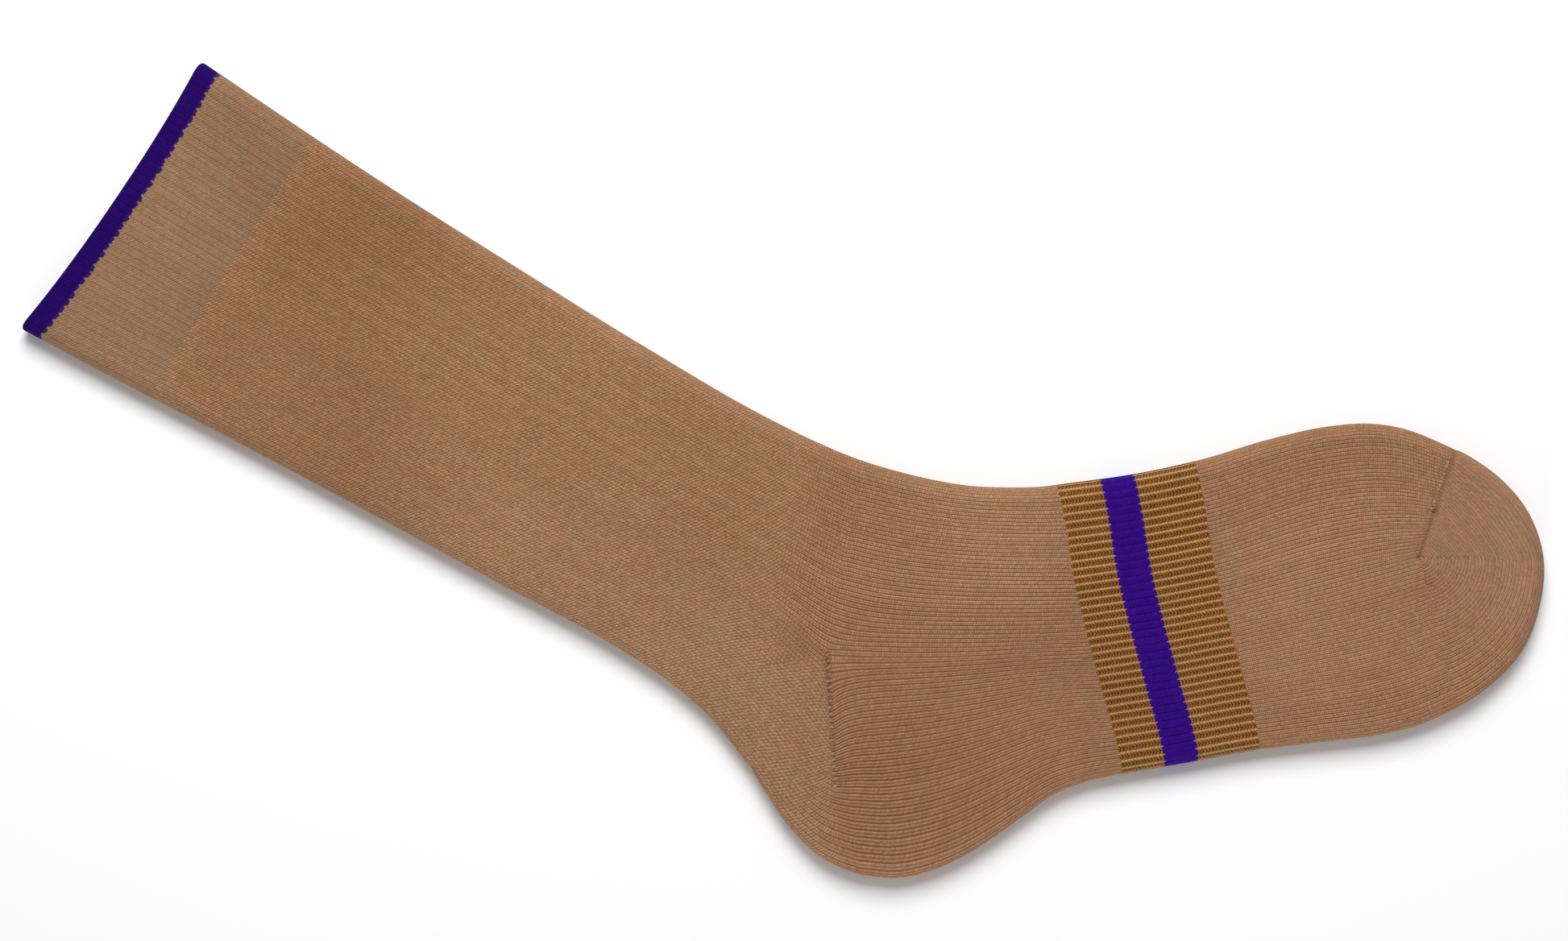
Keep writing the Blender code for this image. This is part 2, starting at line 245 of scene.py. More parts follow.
def mouthRows(x):
    # the mouth slants, and bows out between its folds
    rows = legRows(x, 0.0)
    fade = 1.0 - smoothStep(0.0, sockShape["cuffHeight"], np.asarray(x) + sockShape["legLength"])
    rows["back"] = rows["back"] - fade[:, None] * np.array([sockShape["mouthLean"], 0.0])
    rows["middle"] = (rows["front"] + rows["back"]) / 2.0
    rows["wale"] = evenWale(rows)

    def bow(plan, share):
        offset = np.zeros_like(plan)
        offset[..., 0] = sockShape["mouthBow"] * fade[:, None] * (1 - share ** 2)
        return offset

    rows["bow"] = bow
    return rows


def footBow(strength):
    def bow(plan, share):
        side = np.clip(plan @ footSide * 1000.0, bandBow[0]["side"], bandBow[-1]["side"])
        amount = smoothRead(bandBow, "side", "bow", side) / 1000.0
        return (strength[:, None] * amount)[..., None] * footAxis
    return bow


def bandRows(along):
    along = np.asarray(along, float)
    front = footInstep(along - bandTan * sockShape["instepReach"])
    back = footSole(along + bandTan * sockShape["soleReach"])
    return {"front": front, "middle": (front + back) / 2.0, "back": back, "height": footHeight(along),
            "wale": np.zeros_like(along), "bow": footBow(np.ones_like(along))}


def footRows(step):
    step = np.asarray(step, float)
    last = bandRows([sockShape["bandStart"]])
    bendAlong = float(bendPoint @ footAxis)
    miss = bendPoint - footInstep(np.array(bendAlong))
    frontEnd = sockShape["bandStart"] - bandTan * sockShape["instepReach"]
    backEnd = sockShape["bandStart"] + bandTan * sockShape["soleReach"]
    front = footInstep(bendAlong + (frontEnd - bendAlong) * step) + ((1 - step) ** 2)[:, None] * miss
    back = footSole(backEnd * step)
    middle = last["middle"] * step[:, None]
    height = footHeight(sockShape["bandStart"] * step)
    return {"front": front, "middle": middle, "back": back, "height": height,
            "wale": knit["heelWale"] * (1 - step) ** 1.5, "bow": footBow(step ** 3),
            "gather": footKnit["hubGather"] * (1 - step) + footKnit["soleGather"] * np.sin(math.pi * step),
            "frontGather": footKnit["instepGather"] * np.sin(math.pi * step) ** 0.5}


def forefootRows(step):
    step = np.asarray(step, float)
    first = bandRows([bandEnd])
    instepEnd, soleEnd = toeFold(np.array(1.0)), toeFold(np.array(0.0))
    instepAlong, soleAlong = float(instepEnd @ footAxis), float(soleEnd @ footAxis)
    instepMiss = instepEnd - footInstep(np.array(instepAlong))
    soleMiss = soleEnd - footSole(np.array(soleAlong))
    frontStart = bandEnd - bandTan * sockShape["instepReach"]
    backStart = bandEnd + bandTan * sockShape["soleReach"]
    front = footInstep(frontStart + (instepAlong - frontStart) * step) + (step ** 3)[:, None] * instepMiss
    back = footSole(backStart + (soleAlong - backStart) * step) + (step ** 3)[:, None] * soleMiss
    middle = first["middle"] * (1 - step[:, None]) + toeHub * step[:, None]
    return {"front": front, "middle": middle, "back": back,
            "height": footHeight(bandEnd + (toeHubAlong - bandEnd) * step),
            "wale": knit["toeWale"] * step ** 1.5, "bow": footBow((1 - step) ** 3),
            "gather": toeKnit["gather"] * step ** 2,
            "frontGather": forefootKnit["instepGather"] * smoothStep(0.0, forefootKnit["gatherRows"], step)}


def pocketRows(hub, folds, height, hubWale):
    # sections fanned about a hub, with only a back half
    heading = (folds - hub) / np.linalg.norm(folds - hub, axis=1)[:, None]
    count = len(folds)
    return {"front": folds, "middle": hub + sockShape["hubHole"] * heading, "back": folds,
            "height": np.full(count, height), "wale": np.full(count, hubWale)}


# the columns: fine steps over the top and a few wales past the folds, coarser over the base
def ringWales():
    fold, margin, fine = knit["halfWales"], knit["foldMargin"], knit["topStep"]
    return np.concatenate([np.arange(-fold, fold + margin, fine),
                           np.arange(fold + margin, 3 * fold - margin, knit["baseStep"]),
                           np.arange(3 * fold - margin, 3 * fold + fine / 2, fine)])


def pocketWales(hub):
    past, coarse = knit["halfWales"] + knit["foldMargin"], knit["baseStep"]
    return np.concatenate([np.arange(hub, -past, -knit["topStep"]),
                           np.arange(-past, -2 * knit["halfWales"] - hub - coarse / 4, -coarse)])


def coverSections(rows, wales, warp=None):
    # the outer face, rows of sections by columns of wales: points, outward directions, wales seen from above
    fold, radius = knit["halfWales"], sockShape["foldRadius"]
    base = np.abs(wales) > fold
    seen = np.where(wales > fold, 2 * fold - wales, np.where(wales < -fold, -2 * fold - wales, wales))
    seen = np.broadcast_to(seen, (len(rows["wale"]), len(wales)))
    middleWale = rows["wale"][:, None]
    middle = rows["middle"][:, None, :]
    front = seen > middleWale
    share = np.where(front, (seen - middleWale) / (fold - middleWale),
                     (middleWale - seen) / (fold + middleWale))
    ends = np.where(front[..., None], rows["front"][:, None, :], rows["back"][:, None, :])
    reach = ends - middle
    width = np.linalg.norm(reach, axis=2)
    heading = reach / width[..., None]
    flat = width - radius
    length = flat + math.pi * radius / 2.0
    none = np.zeros(len(middleWale))
    gather = np.where(front, -rows.get("frontGather", none)[:, None], rows.get("gather", none)[:, None])
    even = share + gather * (share ** 2 - share)  # the wales are wider spaced towards one side
    stretch = knit["foldStretch"]
    top = (length - stretch) * even + stretch * share ** knit["foldPower"]
    if warp:
        top = warp(top, length, front, middle + top[..., None] * heading)
    top = np.clip(top, 0.0, length)
    angle = np.clip((top - flat) / radius, 0.0, math.pi / 2.0)  # how far round the fold, from the top
    distance = np.where(top < flat, top, flat + radius * np.sin(angle))
    dome = (rows["height"][:, None] - 2 * radius) * 0.5 * (1 + np.cos(math.pi * np.clip(top / flat, 0, 1)))
    level = np.where(top < flat, 2 * radius + dome, radius + radius * np.cos(angle))
    sideways, upward = np.sin(angle), np.cos(angle)
    baseLevel = np.where(top < flat, 0.0, radius - radius * np.cos(angle))
    level = np.where(base[None, :], baseLevel, level)
    upward = np.where(base[None, :], -upward, upward)
    plan = middle + distance[..., None] * heading
    if "bow" in rows:
        plan = plan + rows["bow"](plan, np.where(front, 1, -1) * np.clip(distance / width, 0, 1))
    points = np.concatenate([plan, level[..., None]], axis=2)
    outward = np.concatenate([sideways[..., None] * heading, upward[..., None]], axis=2)
    return points, outward, seen


def beside(plan, start, end):
    # (distance from a line in plan, distance to its left, share along it)
    reach = end - start
    length = np.linalg.norm(reach)
    unit = reach / length
    away = plan - start
    along = away @ unit
    left = away[..., 1] * unit[0] - away[..., 0] * unit[1]
    past = along - np.clip(along, 0.0, length)
    return np.hypot(left, past), left, along / length


# where the knit is painted paler or darker: painted light and shade, and the cloth's own paler and darker
# places; the place from the ankle, how far it spreads, and how much
lightShadeAndToneSpots = {
    "instep": ((0.0225, 0.0585), 0.020, 0.17),
    "toe": ((0.1650, 0.1250), 0.030, 0.05),
    "toeLow": ((0.1600, 0.1120), 0.018, 0.02),
    "ball": ((0.1100, 0.0840), 0.038, 0.11),
    "arch": ((0.0700, 0.0240), 0.026, -0.02),
    "ankle": ((-0.0440, 0.0180), 0.026, -0.065),
    "legStart": ((-0.1970, -0.0200), 0.022, -0.10),
    "legMiddle": ((-0.1980, 0.0160), 0.013, -0.06),
    "cuffEnd": ((-0.2190, 0.0020), 0.014, 0.03),
    "cuffTop": ((-0.2350, 0.0400), 0.020, -0.05),
    "heel": ((0.0370, -0.0180), 0.026, -0.12),
    "calf": ((-0.1840, 0.0340), 0.036, -0.22),
    "shin": ((-0.1350, 0.0260), 0.020, -0.05),
    "shinLow": ((-0.0850, 0.0270), 0.026, -0.045),
    "calfEdge": ((-0.1540, -0.0260), 0.028, -0.15),
}


def lightShadeAndToneOf(plan):
    paintedLightShadeAndTone = np.ones(plan.shape[:-1])
    for spot, reach, amount in lightShadeAndToneSpots.values():
        away = ((plan - np.array(spot)) ** 2).sum(axis=-1)
        paintedLightShadeAndTone = paintedLightShadeAndTone + amount * np.exp(-away / reach ** 2)
    return paintedLightShadeAndTone


def seamLine(start, end, depths, width, paintedShades, paintedShadeWidth):
    # a crease: its ends, how deep it is and how much painted shade lies in it at each, and how wide
    return {"start": start, "end": end, "startDepth": depths[0], "endDepth": depths[1], "width": width,
            "startPaintedShade": paintedShades[0], "endPaintedShade": paintedShades[1], "paintedShadeWidth": paintedShadeWidth}


def pressSeams(points, outward, paintedLightShadeAndTone, seams):
    # soft creases pressed into the wall along each seam, and painted shade in them
    for seam in seams:
        gap, left, share = beside(points[..., :2], seam["start"], seam["end"])
        share = np.clip(share, 0.0, 1.0)
        depth = seam["startDepth"] * (1 - share) + seam["endDepth"] * share
        points = points - outward * (depth * np.exp(-(gap / seam["width"]) ** 2))[..., None]
        shade = seam["startPaintedShade"] * (1 - share) + seam["endPaintedShade"] * share
        paintedLightShadeAndTone = paintedLightShadeAndTone - shade * np.exp(-(gap / seam["paintedShadeWidth"]) ** 2)
    return points, paintedLightShadeAndTone


def addObject(name, data):
    made = bpy.data.objects.new(name, data)
    bpy.context.scene.collection.objects.link(made)
    return made


def addAttribute(mesh, name, values, kind="FLOAT"):
    layer = mesh.attributes.new(name, kind, "POINT")
    field = "vector" if kind == "FLOAT_VECTOR" else "value"
    layer.data.foreach_set(field, np.asarray(values, np.float32).ravel())


def sheetMesh(name, sheet, wales, courses, sizes, closed=True, ribs=1.0, seams=(), inset=None):
    # a closed wall: a fine outer face, a plainer inner face and the rims between them
    points, outward = sheet[:2]
    points, paintedLightShadeAndTone = pressSeams(points, outward, lightShadeAndToneOf(points[..., :2]), seams)
    courses = np.broadcast_to(courses[:, None] if courses.ndim == 1 else courses, points.shape[:2])
    ribs = np.broadcast_to(ribs, points.shape[:2])
    count = len(wales) - 1 if closed else len(wales)  # a closed ring's last column is its first
    rows = len(points)
    insets = np.zeros(rows) if inset is None else inset
    outer = points - outward * insets[:, None, None]
    innerRows = sorted(set(range(0, rows, sizes["rowSkip"])) | {rows - 1})
    inner = points[innerRows] - outward[innerRows] * (sizes["wall"] - insets)[innerRows, None, None]
    vertices = np.concatenate([outer[:, :count].reshape(-1, 3), inner[:, :count].reshape(-1, 3)])
    vertices[:, :2] += anklePoint
    vertices[:, 2] = np.maximum(vertices[:, 2], 0.0)
    outerIndex = np.arange(rows * count).reshape(rows, count)
    innerIndex = rows * count + np.arange(len(innerRows) * count).reshape(-1, count)
    if closed:
        outerIndex = np.concatenate([outerIndex, outerIndex[:, :1]], axis=1)
        innerIndex = np.concatenate([innerIndex, innerIndex[:, :1]], axis=1)
    quads, maps, flat = [], [], []

    def addFaces(cornerIndex, cornerU, cornerV, isFlat):
        quads.append(np.stack([index.ravel() for index in cornerIndex], -1))
        corners = [np.stack([np.ravel(u), np.ravel(v)], -1) for u, v in zip(cornerU, cornerV)]
        maps.append(np.stack(corners, 1))
        flat.append(np.full(cornerIndex[0].size, isFlat))

    def addGrid(index, v, reverse):
        u = np.broadcast_to(wales, v.shape)
        picks = [(slice(None, -1), slice(None, -1)), (slice(None, -1), slice(1, None)),
                 (slice(1, None), slice(1, None)), (slice(1, None), slice(None, -1))]
        if reverse:
            picks = picks[::-1]
        addFaces(*([grid[pick] for pick in picks] for grid in (index, u, v)), False)

    def addRim(first, second, u, v):
        addFaces([first[:-1], second[:-1], second[1:], first[1:]],
                 [u[:-1], u[:-1], u[1:], u[1:]], [v[:-1], v[:-1], v[1:], v[1:]], True)

    addGrid(outerIndex, courses, False)
    addGrid(innerIndex, courses[innerRows], True)
    addRim(outerIndex[0], innerIndex[0], wales, courses[0])
    addRim(innerIndex[-1], outerIndex[-1], wales, courses[-1])
    if not closed:  # a pocket's inner rows match its outer ones
        addRim(innerIndex[:, 0], outerIndex[:, 0], np.full(rows, wales[0]), courses[:, 0])
        addRim(outerIndex[:, -1], innerIndex[:, -1], np.full(rows, wales[-1]), courses[:, -1])
    faces, corners, flatFaces = np.concatenate(quads), np.concatenate(maps), np.concatenate(flat)
    a, b, c, d = (vertices[faces[:, k]] for k in range(4))
    volume = np.einsum("ij,ij->", a, np.cross(b, c)) + np.einsum("ij,ij->", a, np.cross(c, d))
    if volume < 0:  # turn the faces to point outwards
        faces, corners = faces[:, ::-1], corners[:, ::-1]
    mesh = bpy.data.meshes.new(name)
    mesh.vertices.add(len(vertices))
    mesh.vertices.foreach_set("co", vertices.astype(np.float32).ravel())
    mesh.loops.add(faces.size)
    mesh.loops.foreach_set("vertex_index", faces.astype(np.int32).ravel())
    mesh.polygons.add(len(faces))
    mesh.polygons.foreach_set("loop_start", np.arange(0, faces.size, 4, dtype=np.int32))
    mesh.update(calc_edges=True)
    mesh.polygons.foreach_set("use_smooth", ~flatFaces)
    layer = mesh.uv_layers.new(name="knit")
    layer.data.foreach_set("uv", corners.astype(np.float32).ravel())

    def both(values, innerValue=None):
        # values of the outer face's points, then of the inner one's
        innerPart = values[innerRows][:, :count].ravel()
        if innerValue is not None:
            innerPart = np.full(len(innerPart), innerValue)
        return np.concatenate([values[:, :count].ravel(), innerPart])

    # the painted light and shade of the spots and creases, and the cloth's own tone, on the outer face only
    addAttribute(mesh, "paintedLightShadeAndTone", both(paintedLightShadeAndTone, 1.0))
    addAttribute(mesh, "ribs", both(ribs))
    addAttribute(mesh, "relief", both(np.ones_like(paintedLightShadeAndTone), 0.0))
    addAttribute(mesh, "wale", both(np.broadcast_to(wales, paintedLightShadeAndTone.shape)))
    away = np.concatenate([outward[:, :count].reshape(-1, 3), outward[innerRows][:, :count].reshape(-1, 3)])
    addAttribute(mesh, "outward", away, "FLOAT_VECTOR")
    return addObject(name, mesh)


# shader maths as expressions on sockets
def mathOf(operation, turned=False):
    def run(value, other):
        first, second = (other, value) if turned else (value, other)
        return node(value.tree, "ShaderNodeMath", {"operation": operation}, {0: first, 1: second})
    return run


class Value:
    def __init__(self, tree, socket):
        self.tree, self.socket = tree, socket

    def math(self, operation, other=None):
        return node(self.tree, "ShaderNodeMath", {"operation": operation}, {0: self, 1: other})

    __add__ = __radd__ = mathOf("ADD")
    __sub__ = mathOf("SUBTRACT")
    __rsub__ = mathOf("SUBTRACT", turned=True)
    __mul__ = __rmul__ = mathOf("MULTIPLY")
    __truediv__ = mathOf("DIVIDE")
    __pow__ = mathOf("POWER")


def node(tree, kind, settings=None, inputs=None, output=0):
    made = tree.nodes.new(kind)
    for name, value in (settings or {}).items():
        setattr(made, name, value)
    for key, value in (inputs or {}).items():
        if isinstance(value, Value):
            tree.links.new(value.socket, made.inputs[key])
        elif value is not None:
            made.inputs[key].default_value = value
    return Value(tree, made.outputs[output])


def fromMiddle(value):
    # 0 where the value is half way between two whole numbers, 1 where it is whole
    return (value.math("FRACT") * 2.0 - 1.0).math("ABSOLUTE")


def ramp(value, low, high):
    # 0 at low, 1 at high, eased between
    return node(value.tree, "ShaderNodeMapRange", {"interpolation_type": "SMOOTHSTEP"},
                {"Value": value, "From Min": low, "From Max": high, "To Min": 0.0, "To Max": 1.0})


def mixColour(tree, factor, first, second, blend="MIX"):
    return node(tree, "ShaderNodeMix", {"data_type": "RGBA", "blend_type": blend, "clamp_factor": True},
                {0: factor, 6: first, 7: second}, 2)


def linear(red, green, blue):
    # a colour given as 0 to 255 on the screen
    channels = [channel / 255.0 for channel in (red, green, blue)]
    return [c / 12.92 if c <= 0.04045 else ((c + 0.055) / 1.055) ** 2.4 for c in channels] + [1.0]


def yarnInShade(tree, shade, colour, darken):
    # the yarn's colour under the shade, painted shade included: as it darkens it loses its blue first and its
    # red last
    channels = node(tree, "ShaderNodeCombineColor", {}, {k: shade ** power for k, power in enumerate(darken)})
    return mixColour(tree, 1.0, channels, linear(*colour), "MULTIPLY")


def noise(tree, where, scale, detail=2.0):
    return node(tree, "ShaderNodeTexNoise", {}, {"Vector": where, "Scale": scale, "Detail": detail})


def whiteNoise(tree, x, y):
    cell = node(tree, "ShaderNodeCombineXYZ", {}, {0: x, 1: y})
    return node(tree, "ShaderNodeTexWhiteNoise", {"noise_dimensions": "2D"}, {"Vector": cell})


def attribute(tree, name):
    return node(tree, "ShaderNodeAttribute", {"attribute_name": name}, {}, 2)


def newMaterial(name, settings):
    material = bpy.data.materials.new(name)
    material.use_nodes = True
    tree = material.node_tree
    shader = tree.nodes["Principled BSDF"]
    for label, value in settings.items():
        shader.inputs[label].default_value = value
    return material, tree, shader


# one stitch: two legs that meet at the wale's spine, and a gap before the next stitch up the wale; the gaps,
# the grooves between wales and the spines are darkened with painted shade
def knitMaterial(name, plain, rib=None, paint=None):
    material, tree, shader = newMaterial(name, {
        "Roughness": plain["roughness"], "Specular IOR Level": plain["specular"],
        "Sheen Weight": plain["sheen"], "Sheen Roughness": 0.5, "Sheen Tint": linear(*plain["sheenTint"])})
    uv = node(tree, "ShaderNodeUVMap", {"uv_map": "knit"})
    place = node(tree, "ShaderNodeTexCoord", output=3)
    u = node(tree, "ShaderNodeSeparateXYZ", {}, {0: uv}, 0)
    v = node(tree, "ShaderNodeSeparateXYZ", {}, {0: uv}, 1)
    paintedLightShadeAndTone, ribs = attribute(tree, "paintedLightShadeAndTone"), attribute(tree, "ribs")

    def pick(key):
        if rib is None or rib[key] == plain[key]:
            return plain[key]
        return ribs * (rib[key] - plain[key]) + plain[key]

    wale = u * plain["waleScale"]
    share = wale.math("FRACT")
    edge = fromMiddle(wale)  # 0 on the spine, 1 between two wales
    pair = fromMiddle(u * 0.5)  # 0 in a pair of wales, 1 between two pairs
    wobble = noise(tree, place, plain["wobbleScale"], 1.0) - 0.5
    groove = ramp(edge, 1.0 - plain["grooveWidth"], 1.0)
    spine = 1.0 - ramp(edge, 0.0, plain["spineWidth"])
    pairGroove = ramp(pair, 1.0 - plain["pairWidth"], 1.0)
    phase = v + edge * pick("slant") + share * pick("lean") + wobble * pick("wobble")
    gap = ramp(fromMiddle(phase), plain["gapStart"], 1.0)
    right = ramp(share, 0.5 - plain["legBlend"], 0.5 + plain["legBlend"])  # 0 on the left leg, 1 on the right
    # painted shade in the gaps between stitches, a little stronger on one leg, as if the light came from one
    # side
    gapDark = gap * (right * (pick("gapRight") - pick("gapLeft")) + pick("gapLeft"))

    heather = noise(tree, place, plain["heatherScale"]) - 0.5
    patches = noise(tree, place, plain["patchScale"], 3.0) - 0.5
    # painted shade in the grooves between wales and pairs and along each spine, with the yarn's own random
    # heather
    shade = (1.0 - groove * pick("groove")) * (1.0 - spine * pick("spine")) * (1.0 - gapDark)
    shade = shade * (1.0 - pairGroove * pick("pair")) * (1.0 + heather * plain["heather"])
    stitch = whiteNoise(tree, wale.math("FLOOR"), (v + edge * pick("slant")).math("FLOOR"))
    column = whiteNoise(tree, wale.math("FLOOR"), 0.5)
    shade = shade * (1.0 + (stitch - 0.5) * plain["stitchVary"])
    shade = shade * (1.0 + (column - 0.5) * plain["columnVary"])
    # the painted light and shade of the spots and creases, and the cloth's own tone, read from the mesh
    shade = (shade * (1.0 + patches * plain["patches"]) * paintedLightShadeAndTone).math("MAXIMUM", plain["darkest"])
    colour = yarnInShade(tree, shade, plain["colour"], plain["darken"])
    if rib is not None and rib["colour"] != plain["colour"]:
        colour = mixColour(tree, ribs, colour, yarnInShade(tree, shade, rib["colour"], rib["darken"]))
    if paint:
        colour = paint(tree, colour, shade, v, edge, pair)
    if plain["tint"]:
        warm = ramp(noise(tree, place, plain["tintScale"]), *plain["tintEdges"])
        tint = mixColour(tree, warm, linear(*plain["tintLow"]), linear(*plain["tintHigh"]))
        colour = mixColour(tree, plain["tint"], colour, tint, "MULTIPLY")
    tree.links.new(colour.socket, shader.inputs["Base Color"])

    height = 0.0 - groove * pick("grooveBump") - spine * pick("spineBump") - gapDark * pick("gapBump")
    height = height - pairGroove * pick("pairBump") + heather * plain["fibreBump"]
    bump = node(tree, "ShaderNodeBump", {}, {"Strength": 1.0, "Distance": 0.001, "Height": height})
    tree.links.new(bump.socket, shader.inputs["Normal"])
    return material


# in these looks, groove, spine, pair and the gaps say how much painted shade falls in the grooves, on the
# spines, between pairs of wales and between stitches
plainLook = {
    "colour": (165, 130, 102), "darken": (1.0, 1.34, 1.8), "darkest": 0.03, "waleScale": 1.0,
    "roughness": 0.9, "specular": 0.2, "sheen": 0.05, "sheenTint": (235, 220, 205),
    "groove": 0.40, "grooveWidth": 0.50, "spine": 0.20, "spineWidth": 0.50, "pair": 0.0, "pairWidth": 0.5,
    "slant": 0.15, "lean": -1.0, "wobble": 0.8, "wobbleScale": 700.0,
    "gapStart": 0.20, "gapLeft": 0.40, "gapRight": 0.36, "legBlend": 0.06,
    "heather": 0.85, "heatherScale": 2400.0, "patches": 0.15, "patchScale": 42.0,
    "stitchVary": 0.16, "columnVary": 0.08,
    "tint": 0.22, "tintScale": 150.0, "tintEdges": (0.35, 0.65),
    "tintLow": (255, 236, 228), "tintHigh": (240, 248, 232),
    "grooveBump": 0.08, "spineBump": 0.06, "pairBump": 0.0, "gapBump": 0.08, "fibreBump": 0.03,
}
ribLook = dict(plainLook, colour=(164, 126, 98), groove=0.50, spine=0.33, gapLeft=0.30, gapRight=0.24,
               slant=0.45, lean=-0.1, grooveBump=0.12, spineBump=0.09)
softLook = dict(plainLook, colour=(156, 120, 95), groove=0.28, spine=0.14, gapLeft=0.28, gapRight=0.24)
cuffLook = dict(plainLook, colour=(152, 121, 97), groove=0.26, spine=0.24, pair=0.07, pairWidth=0.6,
                gapLeft=0.30, gapRight=0.22, pairBump=0.03, stitchVary=0.12, heather=0.6)
purpleLook = dict(plainLook, colour=(51, 12, 121), darken=(1.0, 1.5, 0.7), groove=0.25, spine=0.18, tint=0.0,
                  gapLeft=0.40, gapRight=0.35, sheenTint=(150, 120, 235), sheen=0.01, specular=0.05)
weltColour = (38, 5, 93)
seamLook = {"colour": (156, 122, 94), "darkColour": (128, 95, 70), "scale": 900.0, "roughness": 0.9,
            "specular": 0.2, "edges": (0.35, 0.6)}


def startTree(name, inputs):
    # a geometry tree with named inputs, which come back as values
    tree = bpy.data.node_groups.new(name, "GeometryNodeTree")
    for label, kind in inputs.items():
        tree.interface.new_socket(label, in_out="INPUT", socket_type="NodeSocket" + kind)
    tree.interface.new_socket("Geometry", in_out="OUTPUT", socket_type="NodeSocketGeometry")
    source = tree.nodes.new("NodeGroupInput")
    return tree, [Value(tree, source.outputs[label]) for label in inputs]


def endTree(tree, geometry, finish):
    real = node(tree, "GeometryNodeRealizeInstances", {}, {"Geometry": geometry})
    done = node(tree, "GeometryNodeSetMaterial", {}, {"Geometry": real, "Material": finish})
    tree.links.new(done.socket, tree.nodes.new("NodeGroupOutput").inputs[0])
    return tree


# the relief of the wales is pressed into each outer face by geometry nodes
def reliefTree():
    tree, (geometry, plainDepth, ribDepth, pairDepth, finish) = startTree("waleRelief", {
        "Geometry": "Geometry", "Plain Depth": "Float", "Rib Depth": "Float", "Pair Depth": "Float",
        "Finish": "Material"})

    def stored(name, kind="FLOAT"):
        return node(tree, "GeometryNodeInputNamedAttribute", {"data_type": kind}, {"Name": name})

    single = (stored("wale") * (2.0 * math.pi)).math("COSINE") * 0.5 + 0.5
    double = (stored("wale") * math.pi).math("COSINE") * 0.5 + 0.5
    depth = single * (plainDepth + (ribDepth - plainDepth) * stored("ribs")) + double * pairDepth
    offset = node(tree, "ShaderNodeVectorMath", {"operation": "SCALE"},
                  {0: stored("outward", "FLOAT_VECTOR"), 3: depth * stored("relief") * -1.0})
    moved = node(tree, "GeometryNodeSetPosition", {}, {"Geometry": geometry, "Offset": offset})
    return endTree(tree, moved, finish)


waleRelief = reliefTree()


def applyNodes(piece, tree, values):
    # runs a node tree on a piece and keeps the result as its mesh
    modifier = piece.modifiers.new("nodes", "NODES")
    modifier.node_group = tree
    sockets = {item.name: item.identifier for item in tree.interface.items_tree if item.in_out == "INPUT"}
    for name, value in values.items():
        modifier[sockets[name]] = value
    piece.update_tag()
    graph = bpy.context.evaluated_depsgraph_get()
    finished = bpy.data.meshes.new_from_object(piece.evaluated_get(graph), depsgraph=graph)
    finished.name = piece.name
    piece.modifiers.clear()
    piece.data = finished


# how deep the grooves are between plain wales, ribs and pairs of wales
plainRelief = {"plainDepth": 0.00008, "ribDepth": 0.00018, "pairDepth": 0.0, "sharpDeg": 60.0}


def dress(piece, nodeName, material, sizes):
    # presses the wales into a piece and sets it in its solid's place
    applyNodes(piece, waleRelief, {"Plain Depth": sizes["plainDepth"], "Rib Depth": sizes["ribDepth"],
                                   "Pair Depth": sizes["pairDepth"], "Finish": material})
    for name in ("relief", "outward", "wale"):
        piece.data.attributes.remove(piece.data.attributes[name])
    piece.data.set_sharp_from_angle(angle=math.radians(sizes["sharpDeg"]))
    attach(piece, "root")
    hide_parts(nodeName)


# small raised stitches set along a seam by geometry nodes
def stitchTree():
    tree, (geometry, spacing, size, turn, seed, finish) = startTree("seamStitches", {
        "Geometry": "Geometry", "Spacing": "Float", "Size": "Vector", "Turn": "Float", "Seed": "Int",
        "Finish": "Material"})
    curve = node(tree, "GeometryNodeMeshToCurve", {}, {"Mesh": geometry})
    spaced = node(tree, "GeometryNodeResampleCurve", {"mode": "LENGTH"}, {"Curve": curve, "Length": spacing})
    sphere = node(tree, "GeometryNodeMeshIcoSphere", {}, {"Radius": 1.0, "Subdivisions": 2})
    bead = node(tree, "GeometryNodeSetShadeSmooth", {}, {"Geometry": sphere})
    tangent = node(tree, "GeometryNodeInputTangent")
    along = node(tree, "FunctionNodeAlignRotationToVector", {"axis": "X"}, {"Vector": tangent})
    spin = node(tree, "FunctionNodeAxisAngleToRotation", {}, {"Axis": (0.0, 0.0, 1.0), "Angle": turn})
    turned = node(tree, "FunctionNodeRotateRotation", {"rotation_space": "LOCAL"},
                  {"Rotation": along, "Rotate By": spin})
    vary = node(tree, "FunctionNodeRandomValue", {"data_type": "FLOAT_VECTOR"},
                {0: (0.8, 0.8, 0.8), 1: (1.2, 1.2, 1.2), "Seed": seed})  # a fifth smaller or larger
    scale = node(tree, "ShaderNodeVectorMath", {"operation": "MULTIPLY"}, {0: size, 1: vary})
    beads = node(tree, "GeometryNodeInstanceOnPoints", {},
                {"Points": spaced, "Instance": bead, "Rotation": turned, "Scale": scale})
    return endTree(tree, beads, finish)


seamStitches = stitchTree()


def seamMaterial():
    material, tree, shader = newMaterial("seamYarn", {
        "Roughness": seamLook["roughness"], "Specular IOR Level": seamLook["specular"]})
    fleck = noise(tree, node(tree, "ShaderNodeTexCoord", output=3), seamLook["scale"])
    dark, pale = linear(*seamLook["darkColour"]), linear(*seamLook["colour"])
    colour = mixColour(tree, ramp(fleck, *seamLook["edges"]), dark, pale)
    tree.links.new(colour.socket, shader.inputs["Base Color"])
    return material


seamFinish = seamMaterial()
stitchPath = {"points": 40, "above": 0.1}  # how many points a line is laid by, and from how high


